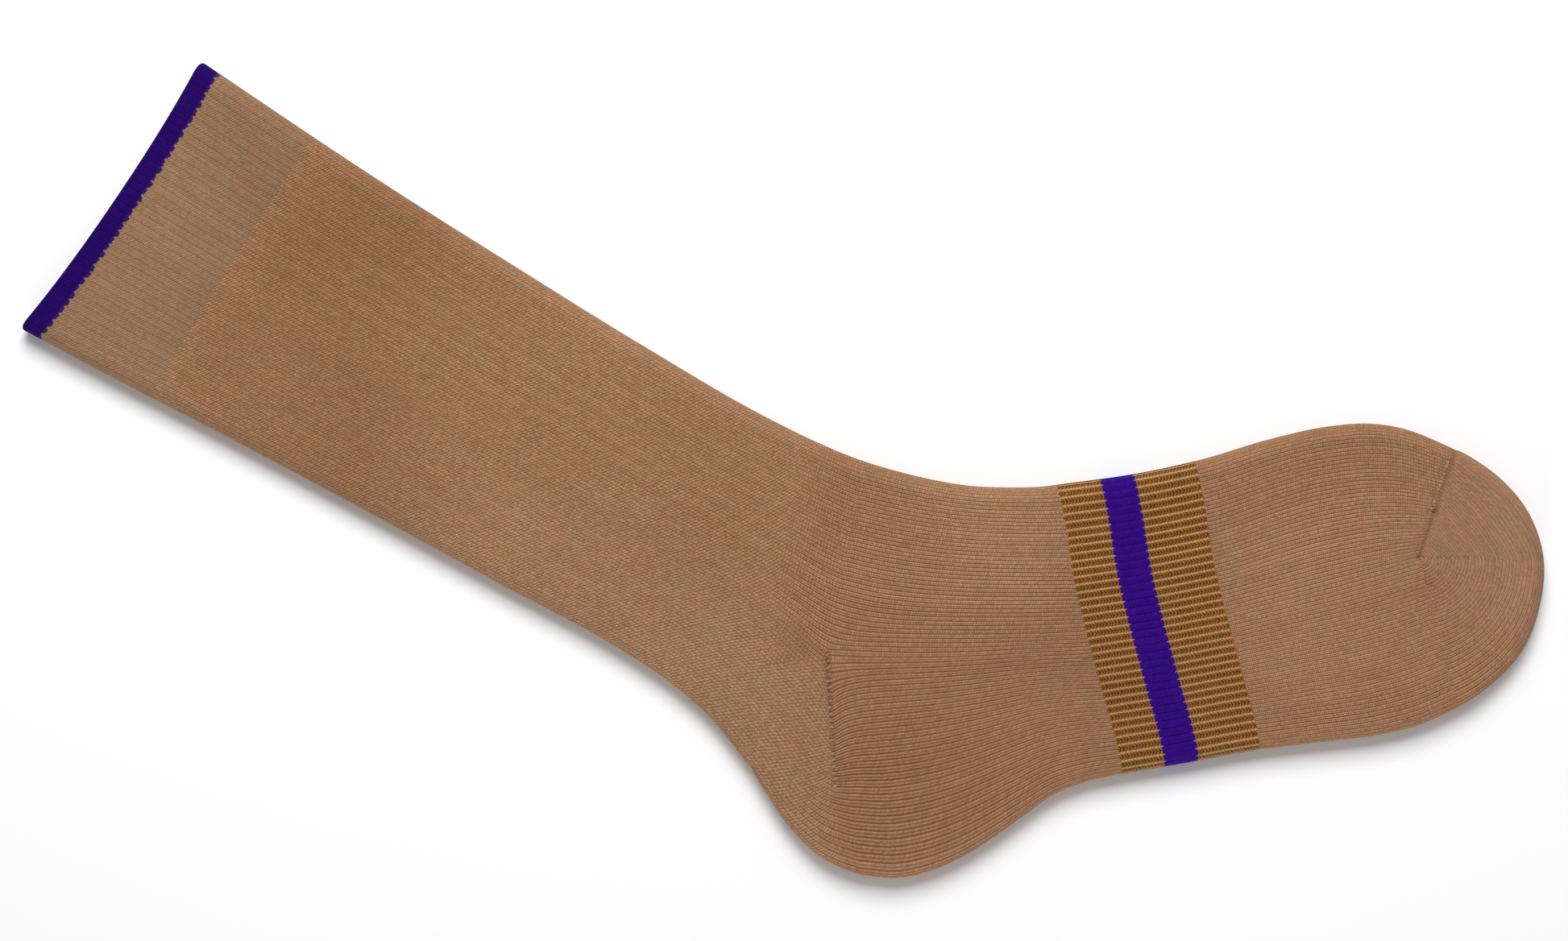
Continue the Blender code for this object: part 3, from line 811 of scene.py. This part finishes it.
def makeStitches(name, start, end, grounds, stitch):
    # a line from start to end is laid on the pieces below it, from above
    bpy.context.view_layer.update()
    vertices = []
    for share in np.linspace(0.0, 1.0, stitchPath["points"]):
        x, y = anklePoint + start * (1 - share) + end * share
        casts = [ground.ray_cast((x, y, stitchPath["above"]), (0.0, 0.0, -1.0)) for ground in grounds]
        heights = [where.z for hit, where, _, _ in casts if hit]
        if heights:
            vertices.append((x, y, max(heights) + stitch["lift"]))
    mesh = bpy.data.meshes.new(name)
    mesh.from_pydata(vertices, [(k, k + 1) for k in range(len(vertices) - 1)], [])
    piece = addObject(name, mesh)
    applyNodes(piece, seamStitches, {"Spacing": stitch["spacing"], "Size": stitch["size"],
                                     "Turn": stitch["turn"], "Seed": stitch["seed"], "Finish": seamFinish})
    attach(piece, "root")
    print(name, "made")
    return piece


def stepsOf(length, step):
    # even shares of a length, about a step apart
    return np.linspace(0.0, 1.0, max(2, int(round(length / step)) + 1))


# where the plain stitches give way to ribs: softly across the ankle, sharply over the heel's gore line
turnLine = {"before": 0.023, "after": -0.006, "hub": 0.1, "goreWidth": 0.0010, "endWidth": 0.007,
            "widening": (0.85, 1.5), "stretch": 0.8, "stretchPlace": (0.026, -0.030), "stretchReach": 0.034}


def ankleRibs(plan):
    towardFoot = plan @ toward(sockShape["bendDeg"] / 2.0)
    soft = smoothStep(-turnLine["before"], turnLine["after"], towardFoot)
    gap, left, share = beside(plan, np.zeros(2), goreEnd)
    width = turnLine["goreWidth"] + turnLine["endWidth"] * smoothStep(*turnLine["widening"], share)
    sharp = smoothStep(-width, width, left)
    ribs = np.where(share > 0, sharp + (soft - sharp) * (1 - smoothStep(0.0, turnLine["hub"], share)), soft)
    away = ((plan - np.array(turnLine["stretchPlace"])) ** 2).sum(axis=-1)
    return ribs * (1 + turnLine["stretch"] * np.exp(-away / turnLine["stretchReach"] ** 2))


# the wales round the bend: they are drawn towards the instep where the leg and the foot meet
bendTurn = {"legReach": 0.024, "footReach": 0.017, "hubGrowth": 0.014}


def bendShift(top, length, along):
    # how far a wale moves towards the instep, by its place before or after the ankle line
    grown = 1 - np.exp(-np.maximum(top, 0.0) / bendTurn["hubGrowth"]) + 1e-4  # never quite 0
    legReach, footReach = bendTurn["legReach"] * grown, bendTurn["footReach"] * grown
    kink = 2.0 * np.tan(np.radians(sockShape["bendDeg"] / 2.0) * (1 - top / length))
    most = kink * legReach * footReach / (legReach + footReach)
    return most * np.exp(np.where(along < 0, along / legReach, -along / footReach))


# heel: the wales come down from the leg, turn at the gore line and leave along the sole
heelKnit = dict(plainRelief, rows=46, rowSkip=1, wall=0.0021, plainPitch=0.0011, ribPitch=0.00068,
                goreTurn=0.864, goreLength=0.040, rise=0.0053, riseFade=0.0058, riseStart=0.009,
                riseEnd=(0.018, 0.050))
goreUnit = toward(-90.0 + sockShape["bendDeg"] * heelKnit["goreTurn"])
goreEnd = heelKnit["goreLength"] * goreUnit
# the heel's gore line: a crease with painted shade in it
heelSeams = [seamLine(np.zeros(2), goreEnd, (0.0004, 0.0001), 0.0008, (0.36, 0.05), 0.0007)]


def heelRise(top, away):
    # how far the wales have dropped where they reach the gore line
    start, end = smoothStep(0.0, heelKnit["riseStart"], top), smoothStep(*heelKnit["riseEnd"], top)
    drop = heelKnit["rise"] * start * (1 - end)
    return drop * np.exp(-np.maximum(away, 0.0) / heelKnit["riseFade"])


heelStitch = {"spacing": 0.00195, "size": (0.00034, 0.00085, 0.00022), "turn": 0.25, "seed": 3,
              "lift": 0.00006, "from": 0.02}


def makeHeel():
    turn = np.linspace(0.0, 1.0, heelKnit["rows"])
    legReach = np.linalg.norm(legFold(np.array(0.0), "back"))
    footReach = np.linalg.norm(footSole(np.array(0.0)))
    reach = legReach + (footReach - legReach) * smoothRead(heelRound, "turn", "reach", turn)
    folds = reach[:, None] * toward(-90.0 + sockShape["bendDeg"] * turn)
    rows = pocketRows(np.zeros(2), folds, float(legHeight(np.array(0.0))), knit["heelWale"])
    rows["gather"] = footKnit["hubGather"] * turn
    beyond = np.radians((turn - heelKnit["goreTurn"]) * sockShape["bendDeg"])[:, None]

    def warp(top, length, front, plan):
        before = np.clip(turn[:, None] / heelKnit["goreTurn"], 0.0, 1.0)
        return top + heelRise(top, top * np.sin(np.maximum(beyond, 0.0))) * before ** 4

    wales = pocketWales(knit["heelWale"])
    sheet = coverSections(rows, wales, warp)
    plan = sheet[0][..., :2]
    distance = np.linalg.norm(plan, axis=2)
    angle = np.radians(turn * sockShape["bendDeg"])[:, None]
    atGore = math.radians(sockShape["bendDeg"] * heelKnit["goreTurn"])
    courses = distance * (np.minimum(angle, atGore) / heelKnit["plainPitch"]
                          + np.maximum(angle - atGore, 0.0) / heelKnit["ribPitch"])
    piece = sheetMesh("heelPocketKnit", sheet, wales, courses, heelKnit, closed=False,
                      ribs=ankleRibs(plan), seams=heelSeams)
    dress(piece, "heel_pocket", knitMaterial("heelYarn", plainLook, ribLook), heelKnit)
    goreStart = goreEnd * heelStitch["from"]
    stitches = makeStitches("heelGoreStitches", goreStart, goreEnd, [piece], heelStitch)


# welt: the turned purple edge, whose mouth is rounded over
weltKnit = dict(plainRelief, rowStep=0.0010, rowSkip=1, wall=0.0024, ribDepth=0.00008, pairDepth=0.00010,
                turnRows=6, pitch=0.00095)


def makeWelt():
    start = -sockShape["legLength"]
    radius = weltKnit["wall"] / 2.0
    turn = np.linspace(0.0, math.pi / 2.0, weltKnit["turnRows"])
    straight = sockShape["weltHeight"] - radius
    x = start + np.concatenate([radius * (1 - np.cos(turn)),
                                radius + straight * stepsOf(straight, weltKnit["rowStep"])[1:]])
    inset = np.concatenate([radius * (1 - np.sin(turn)), np.zeros(len(x) - len(turn))])
    wales = ringWales()
    sheet = coverSections(mouthRows(x), wales)
    piece = sheetMesh("weltKnit", sheet, wales, (x - start) / weltKnit["pitch"], weltKnit, inset=inset)
    yarn = knitMaterial("weltYarn", dict(purpleLook, colour=weltColour))
    dress(piece, "welt", yarn, weltKnit)
    print("weltKnit made, a hem in mm", round(1000 * sockShape["weltHeight"], 1))
    return piece


# cuff: shallow pairs of wales, and the purple runs a stitch into it
cuffKnit = dict(plainRelief, rowStep=0.0015, rowSkip=6, wall=0.0022, plainDepth=0.00005, ribDepth=0.00005,
                pairDepth=0.00004, pitch=0.00095, teeth=0.6, pairTeeth=0.9, toothEdge=(-0.1, 0.3),
                uneven=2.6, unevenScale=320.0)


def cuffPaint(tree, colour, shade, v, edge, pair):
    start = sockShape["weltHeight"] / cuffKnit["pitch"]
    uneven = noise(tree, node(tree, "ShaderNodeTexCoord", output=3), cuffKnit["unevenScale"], 1.0) - 0.5
    teeth = (1.0 - edge) * cuffKnit["teeth"] + (1.0 - pair) * cuffKnit["pairTeeth"]
    inTeeth = 1.0 - ramp(v - start - teeth - uneven * cuffKnit["uneven"], *cuffKnit["toothEdge"])
    return mixColour(tree, inTeeth, colour, yarnInShade(tree, shade, weltColour, purpleLook["darken"]))


def makeCuff(welt):
    start = -sockShape["legLength"] + sockShape["weltHeight"]
    length = sockShape["cuffHeight"] - sockShape["weltHeight"]
    x = start + length * stepsOf(length, cuffKnit["rowStep"])
    wales = ringWales()
    sheet = coverSections(mouthRows(x), wales)
    courses = (x + sockShape["legLength"]) / cuffKnit["pitch"]
    piece = sheetMesh("cuffKnit", sheet, wales, courses, cuffKnit)
    dress(piece, "cuff", knitMaterial("cuffYarn", cuffLook, paint=cuffPaint), cuffKnit)


# leg: plain knitting from the cuff to the ankle
legKnit = dict(plainRelief, rowStep=0.0016, rowSkip=8, wall=0.0018, cuffPitch=0.00090, anklePitch=0.00112)


def makeLeg():
    length = sockShape["legLength"] - sockShape["cuffHeight"]
    step = stepsOf(length, legKnit["rowStep"])
    rows = legRows(-length * (1 - step), step ** 2)

    def warp(top, length, front, plan):
        along = np.minimum(plan @ toward(sockShape["bendDeg"] / 2.0), 0.0)
        return top + bendShift(top, length, along) * front

    wales = ringWales()
    sheet = coverSections(rows, wales, warp)
    slope = (legKnit["anklePitch"] - legKnit["cuffPitch"]) / length
    courses = np.log((legKnit["cuffPitch"] + slope * length * step) / legKnit["anklePitch"]) / slope
    piece = sheetMesh("legKnit", sheet, wales, courses, legKnit, ribs=ankleRibs(sheet[0][..., :2]))
    dress(piece, "leg", knitMaterial("legYarn", plainLook, ribLook), legKnit)


# foot: from the ankle to the arch, its courses fanning out over the heel
footKnit = dict(plainRelief, rowStep=0.0013, rowSkip=6, wall=0.0019, hubGather=0.18, soleGather=0.10,
                instepGather=0.10, instepCourses=70, soleCourses=126)


def coursesAcross(sizes, seen):
    # how many courses a piece has on each wale, from sole to instep
    mean = (sizes["instepCourses"] + sizes["soleCourses"]) / 2.0
    return mean + (sizes["instepCourses"] - mean) * seen / knit["halfWales"]


def makeFoot():
    step = stepsOf(sockShape["bandStart"], footKnit["rowStep"])
    rows = footRows(step)

    def warp(top, length, front, plan):
        bend = bendShift(top, length, np.maximum(plan @ toward(sockShape["bendDeg"] / 2.0), 0.0))
        away = goreUnit[0] * plan[..., 1] - goreUnit[1] * plan[..., 0]
        return top + np.where(front, bend, heelRise(top, away))

    wales = ringWales()
    sheet = coverSections(rows, wales, warp)
    plan, seen = sheet[0][..., :2], sheet[2]
    atGore = math.radians(sockShape["bendDeg"] * heelKnit["goreTurn"])
    past = math.radians(sockShape["bendDeg"]) - atGore
    around = atGore / heelKnit["plainPitch"] + past / heelKnit["ribPitch"]
    heelCourses = np.where(seen[0] > knit["heelWale"], 0.0, np.linalg.norm(plan[0], axis=1) * around)
    courses = heelCourses[None, :] + step[:, None] * coursesAcross(footKnit, seen)
    piece = sheetMesh("footKnit", sheet, wales, courses, footKnit, ribs=ankleRibs(plan), seams=heelSeams)
    dress(piece, "foot", knitMaterial("footYarn", plainLook, ribLook), footKnit)


# arch: a ribbed band either side of the purple stripe
bandKnit = dict(plainRelief, rowStep=0.0013, rowSkip=4, wall=0.0019, plainDepth=0.00002, ribDepth=0.00002,
                pairDepth=0.00030, pitch=0.00095, brown=(130, 86, 30), brownDarken=(1.0, 1.29, 2.6),
                tan=(178, 140, 104), brownShare=0.64, softness=0.06, tip=0.55, ragged=0.40,
                raggedScale=1300.0, tanStart=0.59, tanFull=0.95, tanEdgeShade=0.5, tanShade=0.4,
                spike=0.9, spikeStart=0.74, spikeEdge=(-0.03, 0.08), spikeShade=0.9)
bandLook = dict(plainLook, waleScale=0.5, groove=0.0, spine=0.25, spineWidth=0.25,
                gapLeft=0.70, gapRight=0.70, gapStart=0.15, slant=0.75, lean=0.0, wobble=1.1,
                grooveBump=0.0, spineBump=0.1, gapBump=0.12, tint=0.2, heather=0.7)


def bandPaint(length, tipAtStart):
    # the brown wales end in rounded tips at the outer edge, and the tan between them is paler and flatter,
    # with painted shade where it meets the brown wales
    def paint(tree, colour, shade, v, edge, pair):
        end = v if tipAtStart else length - v
        inTip = ramp(end, 0.0, bandKnit["tip"])
        half = bandKnit["brownShare"] * (inTip * (2.0 - inTip)).math("SQRT")
        ragged = noise(tree, node(tree, "ShaderNodeTexCoord", output=3), bandKnit["raggedScale"], 1.0) - 0.5
        past, soft = edge + ragged * bandKnit["ragged"] - half, bandKnit["softness"]
        brown = 1.0 - ramp(past, -soft, soft)
        dark, own = bandKnit["tanEdgeShade"], bandKnit["tanShade"]
        # painted shade on the tan beside the raised brown wales
        rise = ramp(edge, bandKnit["tanStart"], bandKnit["tanFull"]) * (1.0 - dark) + dark
        pale = yarnInShade(tree, rise * (shade * own + (1.0 - own)), bandKnit["tan"], plainLook["darken"])
        return mixColour(tree, brown, pale, yarnInShade(tree, shade, bandKnit["brown"], bandKnit["brownDarken"]))
    return paint


def stripePaint(length):
    # the tan wales of the bands run a little way into the purple
    def paint(tree, colour, shade, v, edge, pair):
        near = v.math("MINIMUM", length - v) / bandKnit["spike"]
        start = bandKnit["spikeStart"]
        spike = ramp(pair - start - near * (1.0 - start), *bandKnit["spikeEdge"])
        pale = yarnInShade(tree, shade * bandKnit["spikeShade"], bandKnit["tan"], plainLook["darken"])
        return mixColour(tree, spike, colour, pale)
    return paint


def makeBand(name, nodeName, start, width, material):
    along = start + width * stepsOf(width, bandKnit["rowStep"])
    wales = ringWales()
    sheet = coverSections(bandRows(along), wales)
    piece = sheetMesh(name, sheet, wales, (along - start) / bandKnit["pitch"], bandKnit)
    dress(piece, nodeName, material, bandKnit)


# forefoot: ribs that close on the toe
forefootKnit = dict(plainRelief, rowStep=0.0013, rowSkip=6, wall=0.0019, instepGather=0.14, gatherRows=0.5,
                    instepCourses=105, soleCourses=83, ribLoss=0.6, lossRows=(0.55, 1.0),
                    lossWales=(-10.0, 6.0))
toeKnit = dict(plainRelief, rowsLow=60, rowsHigh=60, rowSkip=1, wall=0.0021, lowPitch=0.00072,
               highPitch=0.0010, gather=0.06, gatherTurn=0.4, goreTurn=0.517, goreReach=0.72,
               seamMiddle=0.42, secondApart=(0.0024, 0.0030), chordFade=2.5, ribLoss=0.85,
               lossTurn=(0.05, 0.50))


def makeForefoot():
    step = stepsOf(toeHubAlong - bandEnd, forefootKnit["rowStep"])
    wales = ringWales()
    sheet = coverSections(forefootRows(step), wales)
    courses = step[:, None] * coursesAcross(forefootKnit, sheet[2])
    loss = smoothStep(*forefootKnit["lossRows"], step)[:, None]
    loss = loss * smoothStep(*forefootKnit["lossWales"], sheet[2])
    piece = sheetMesh("forefootKnit", sheet, wales, courses, forefootKnit,
                      ribs=1.0 - forefootKnit["ribLoss"] * loss, seams=toeSeams)
    dress(piece, "forefoot", knitMaterial("forefootYarn", plainLook, ribLook), forefootKnit)
    return piece


# toe: ribs curl round its lower half, and finer knitting fills the upper half up to the seam
toeGoreStitch = {"spacing": 0.0013, "size": (0.00030, 0.00055, 0.00014), "turn": 0.5, "seed": 5,
                 "lift": 0.00002}
toeSeamStitch = {"spacing": 0.0012, "size": (0.00060, 0.00034, 0.00016), "turn": 0.35, "seed": 8,
                 "lift": 0.00002, "middle": 0.0014, "until": 0.86}


def makeToe(forefoot):
    turn = np.concatenate([np.linspace(0.0, toeKnit["goreTurn"], toeKnit["rowsLow"]),
                           np.linspace(toeKnit["goreTurn"], 1.0, toeKnit["rowsHigh"])[1:]])
    folds = toeFold(turn)
    reach = np.linalg.norm(folds - toeHub, axis=1)
    gore, seam = float(np.linalg.norm(toeFold(np.array(toeKnit["goreTurn"])) - toeHub)), reach[-1]
    span = math.radians(sockShape["toeSeamDeg"] - sockShape["toeSoleDeg"])
    angle = np.maximum(turn - toeKnit["goreTurn"], 0.0) * span
    last = angle[-1]
    chord = gore * seam * math.sin(last) / (gore * np.sin(angle) + seam * np.sin(last - angle))
    chordShare = (chord / reach)[:, None]  # the wales of the upper half run straight from gore to seam

    def warp(top, length, front, plan):
        return top * (chordShare + (1 - chordShare) * (top / length) ** toeKnit["chordFade"])

    rows = pocketRows(toeHub, folds, float(footHeight(toeHubAlong)), knit["toeWale"])
    rows["gather"] = toeKnit["gather"] * (1 - smoothStep(0.0, toeKnit["gatherTurn"], turn))
    wales = pocketWales(knit["toeWale"])
    sheet = coverSections(rows, wales, warp)
    distance = np.linalg.norm(sheet[0][..., :2] - toeHub, axis=2)
    sweep = (turn * span)[:, None]
    atGore = toeKnit["goreTurn"] * span
    around = (np.minimum(sweep, atGore) / toeKnit["lowPitch"]
              + np.maximum(sweep - atGore, 0.0) / toeKnit["highPitch"])
    courses = coursesAcross(forefootKnit, sheet[2]) + distance * around
    loss = toeKnit["ribLoss"]  # what the ribs lose before the gore line, past which none is left
    ribs = 1.0 - smoothStep(*toeKnit["lossTurn"], turn) * loss - (1.0 - loss) * (turn > toeKnit["goreTurn"])
    piece = sheetMesh("toePocketKnit", sheet, wales, courses, toeKnit, closed=False, ribs=ribs[:, None],
                      seams=toeSeams)
    dress(piece, "toe_pocket", knitMaterial("toeYarn", softLook, ribLook), toeKnit)
    goreRow = makeStitches("toeGoreStitches", toeHub, toeGoreEnd, [piece], toeGoreStitch)
    start = seamMiddle - toeSeamStitch["middle"] * footAxis
    end = start + (seamTop - seamMiddle) * toeSeamStitch["until"]
    seamRow = makeStitches("toeSeamStitches", start, end, [piece, forefoot], toeSeamStitch)


seamTop = toeFold(np.array(1.0))
seamMiddle = toeHub + (seamTop - toeHub) * toeKnit["seamMiddle"]
toeGoreEnd = toeHub + (toeFold(np.array(toeKnit["goreTurn"])) - toeHub) * toeKnit["goreReach"]
startApart, endApart = toeKnit["secondApart"]
# the seam's lower half, the two lines of its upper half, and the gore line: creases with painted shade in
# them
toeSeams = [
    seamLine(toeHub, seamMiddle, (0.0006, 0.0008), 0.0011, (0.20, 0.12), 0.0007),
    seamLine(seamMiddle, seamTop, (0.0004, 0.0002), 0.0009, (0.14, 0.26), 0.0006),
    seamLine(seamMiddle - startApart * footAxis, seamTop - endApart * footAxis,
             (0.0003, 0.0002), 0.0008, (0.08, 0.26), 0.0006),
    seamLine(toeHub, toeGoreEnd, (0.0003, 0.0), 0.0006, (0.12, 0.0), 0.0006),
]

# the floor, the light and the camera
studio = {"floorSize": 3.0, "floorColour": (238, 238, 239), "floorRoughness": 0.9, "worldStrength": 0.33}
lamps = {  # the key beyond the picture's top, and a low fill that reaches the edges that face away from it
    "keyLight": {"energy": 20.8, "size": 0.72, "place": (-0.43, 0.68, 1.03)},
    "fillLight": {"energy": 10.5, "size": 0.22, "place": (0.68, -1.08, 0.14)},
}


def makeStudio():
    bpy.ops.mesh.primitive_plane_add(size=studio["floorSize"])
    floor = bpy.context.object
    floor.name = "floor"
    paper = newMaterial("paleFloor", {"Base Color": linear(*studio["floorColour"]),
                                      "Roughness": studio["floorRoughness"], "Specular IOR Level": 0.0})[0]
    floor.data.materials.append(paper)
    world = bpy.data.worlds.new("studioWorld")
    world.use_nodes = True
    background = world.node_tree.nodes["Background"]
    background.inputs["Color"].default_value = (1.0, 1.0, 1.0, 1.0)
    background.inputs["Strength"].default_value = studio["worldStrength"]
    bpy.context.scene.world = world
    for name, lamp in lamps.items():
        light = bpy.data.lights.new(name, "AREA")
        light.energy = lamp["energy"]
        light.size = lamp["size"]
        holder = addObject(name, light)
        holder.location = lamp["place"]
        holder.rotation_euler = (-Vector(lamp["place"])).to_track_quat("-Z", "Y").to_euler()
        holder.visible_camera = False
    bpy.context.scene.view_settings.view_transform = "Standard"


# the photograph's framing: the frame is 1946 by 1168 pixels, seen straight down
view = {"pixelSize": 0.00024, "width": 1946, "height": 1168, "anklePixel": (1026, 808), "turnDeg": 32.2,
        "lens": 85.0, "sensor": 36.0, "focusHeight": 0.006, "farthest": 10.0}


def makeCamera():
    right = (view["width"] / 2.0 - view["anklePixel"][0]) * view["pixelSize"]
    up = (view["anklePixel"][1] - view["height"] / 2.0) * view["pixelSize"]
    centre = anklePoint + right * toward(view["turnDeg"]) + up * toward(view["turnDeg"] + 90.0)
    lens = bpy.data.cameras.new("camera")
    lens.lens = view["lens"]
    lens.sensor_width = view["sensor"]
    lens.clip_end = view["farthest"]
    camera = addObject("camera", lens)
    distance = view["lens"] / view["sensor"] * view["width"] * view["pixelSize"]
    camera.location = (centre[0], centre[1], distance + view["focusHeight"])
    camera.rotation_euler = (0.0, 0.0, math.radians(view["turnDeg"]))
    bpy.context.scene.camera = camera


makeStudio()
makeCamera()
print("studio and camera made")
makeCuff(makeWelt())
makeLeg()
makeHeel()
makeFoot()
rearPaint = bandPaint(sockShape["rearBand"] / bandKnit["pitch"], True)
frontPaint = bandPaint(sockShape["frontBand"] / bandKnit["pitch"], False)
middlePaint = stripePaint(sockShape["stripe"] / bandKnit["pitch"])
makeBand("archBandRearKnit", "arch_band_rear", sockShape["bandStart"], sockShape["rearBand"],
         knitMaterial("rearBandYarn", bandLook, paint=rearPaint))
makeBand("archStripeKnit", "arch_stripe", rearEnd, sockShape["stripe"],
         knitMaterial("stripeYarn", purpleLook, paint=middlePaint))
makeBand("archBandFrontKnit", "arch_band_front", stripeEnd, sockShape["frontBand"],
         knitMaterial("frontBandYarn", bandLook, paint=frontPaint))
makeToe(makeForefoot())
